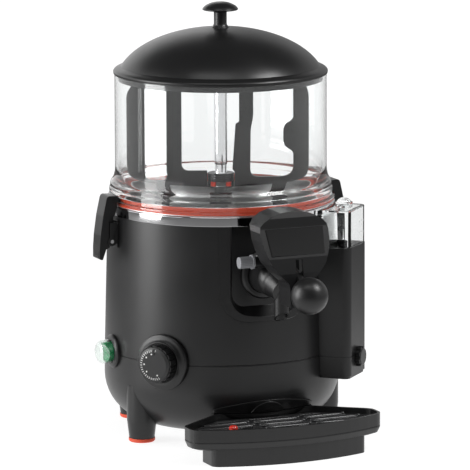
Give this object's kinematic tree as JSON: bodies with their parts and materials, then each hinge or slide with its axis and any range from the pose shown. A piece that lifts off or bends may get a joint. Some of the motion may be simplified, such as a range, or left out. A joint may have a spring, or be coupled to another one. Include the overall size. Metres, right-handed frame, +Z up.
{
  "type": "hot chocolate dispenser",
  "caption": "Countertop hot chocolate dispenser: clear bowl with domed lid and stirring paddle over a round heated body, lever tap, thermostat, switch, water tank and drip tray.",
  "frame": {"origin": "centre of the whole machine's outline on the surface it stands on", "axes": "+Z up, -Y towards the front where the tap is, +X to the machine's right seen from the front"},
  "size_m": [0.2914, 0.3962, 0.465],
  "materials": {
    "casing_black": "satin black moulded plastic",
    "trim_black": "fine matte black plastic",
    "gloss_black": "glossy black plastic",
    "latch_grey": "satin charcoal plastic",
    "paddle_grey": "matte dark grey plastic",
    "clear_plastic": "clear polycarbonate",
    "boot_clear": "clear soft plastic over green",
    "red_rubber": "red silicone rubber",
    "steel": "polished stainless steel",
    "sheet_steel": "plain steel sheet",
    "bronze": "sintered bronze",
    "motor_grey": "painted gear case",
    "element": "heating element sheath",
    "insulator": "cream moulded plastic",
    "green_lens": "glossy green plastic",
    "knob_grey": "knurled satin grey",
    "float_red": "glossy red plastic"
  },
  "bodies": {
    "machine": {"base_shell": "casing_black", "base_plate": "sheet_steel", "foot_posts": "casing_black", "foot_pads": "red_rubber", "casing": "casing_black", "top_ring": "steel", "bath_tub": "sheet_steel", "product_pan": "steel", "heating_element": "element", "thermal_cutout": "insulator", "chassis_plate": "sheet_steel", "chassis_screws": "sheet_steel", "gear_motor": "motor_grey", "motor_screws": "sheet_steel", "terminal_block": "insulator", "cable_gland": "trim_black", "centre_column": "steel", "column_bushes": "bronze", "bowl_gasket": "red_rubber", "bowl": "clear_plastic", "latch_bracket_left": "trim_black", "latch_bracket_right": "trim_black", "latch_pins": "steel", "thermostat_collar": "trim_black", "thermostat_body": "insulator", "switch_bezel": "trim_black", "switch_boot": "boot_clear", "tap_panel": "casing_black", "tap_flange": "trim_black", "tap_body": "trim_black", "tap_pivot_pin": "steel", "shield_bracket": "sheet_steel", "shield_cover": "latch_grey", "shield_plate": "gloss_black", "tank_cover": "casing_black", "tank_reservoir": "clear_plastic", "tray_bracket": "trim_black", "bracket_plate": "trim_black"},
    "lid_assembly": {"lid": "casing_black", "lid_knob": "casing_black", "lid_knob_stem": "casing_black"},
    "agitator": {"drive_shaft": "steel", "paddle": "paddle_grey", "paddle_cap": "trim_black", "hub_seals": "red_rubber", "hub_ring": "trim_black"},
    "left_latch": {"latch_lever_left": "latch_grey"},
    "right_latch": {"latch_lever_right": "latch_grey"},
    "thermostat_dial": {"thermostat_knob": "trim_black"},
    "rocker": {"switch_rocker": "green_lens"},
    "tap_handle": {"tap_lever": "trim_black", "tap_ball": "gloss_black"},
    "valve_stem": {"tap_plunger": "steel"},
    "side_knob": {"tap_side_knob": "knob_grey"},
    "filler_cap": {"tank_cap": "clear_plastic"},
    "drain_valve": {"drain_knob": "trim_black"},
    "tray": {"drip_tray": "casing_black"},
    "grid": {"tray_grid": "latch_grey"},
    "float": {"level_float": "float_red"}
  },
  "joints": [
    {"name": "lid_lift", "type": "slide", "parent": "machine", "child": "lid_assembly", "axis": [0, 0, 1], "range_m": [0, 0.09]},
    {"name": "paddle_spin", "type": "hinge", "parent": "machine", "child": "agitator", "pos_m": [0, 0.0534, 0.3], "axis": [0, 0, 1], "continuous": true},
    {"name": "latch_left_open", "type": "hinge", "parent": "machine", "child": "left_latch", "pos_m": [-0.13051, 0.0534, 0.215], "axis": [0, -1, 0], "range_deg": [0, 32]},
    {"name": "latch_right_open", "type": "hinge", "parent": "machine", "child": "right_latch", "pos_m": [0.13051, 0.0534, 0.215], "axis": [0, 1, 0], "range_deg": [0, 32]},
    {"name": "dial_turn", "type": "hinge", "parent": "machine", "child": "thermostat_dial", "pos_m": [-0.11122, -0.03163, 0.094], "axis": [0.7944, 0.6074, 0], "range_deg": [0, 270]},
    {"name": "switch_rock", "type": "hinge", "parent": "machine", "child": "rocker", "pos_m": [-0.1307, 0.0534, 0.094], "axis": [0, 1, 0], "range_deg": [0, 14]},
    {"name": "tap_lever_lift", "type": "hinge", "parent": "machine", "child": "tap_handle", "pos_m": [0, -0.0916, 0.2075], "axis": [-1, 0, 0], "range_deg": [0, 14], "stiffness_Nm_per_rad": 0.6, "springref_deg": -20.05},
    {"name": "valve_stem_lift", "type": "slide", "parent": "machine", "child": "valve_stem", "axis": [0, 0, 1], "range_m": [0, 0.0055]},
    {"name": "side_knob_turn", "type": "hinge", "parent": "machine", "child": "side_knob", "pos_m": [-0.034, -0.0916, 0.2075], "axis": [-1, 0, 0], "range_deg": [0, 90]},
    {"name": "filler_cap_lift", "type": "slide", "parent": "machine", "child": "filler_cap", "axis": [0, 0, 1], "range_m": [0, 0.03]},
    {"name": "drain_turn", "type": "hinge", "parent": "machine", "child": "drain_valve", "pos_m": [0.11314, -0.05974, 0.089], "axis": [0.7071, -0.7071, 0], "range_deg": [0, 180]},
    {"name": "tray_pull", "type": "slide", "parent": "machine", "child": "tray", "axis": [0, -1, 0], "range_m": [0, 0.1]},
    {"name": "grid_tilt", "type": "hinge", "parent": "tray", "child": "grid", "pos_m": [0, -0.0706, 0.035], "axis": [-1, 0, 0], "range_deg": [0, 30]},
    {"name": "float_rise", "type": "slide", "parent": "tray", "child": "float", "axis": [0, 0, 1], "range_m": [0, 0.008]}
  ],
  "couplings": [
    {"joint": "valve_stem_lift", "follows": "tap_lever_lift", "m_per_rad": 0.02}
  ]
}
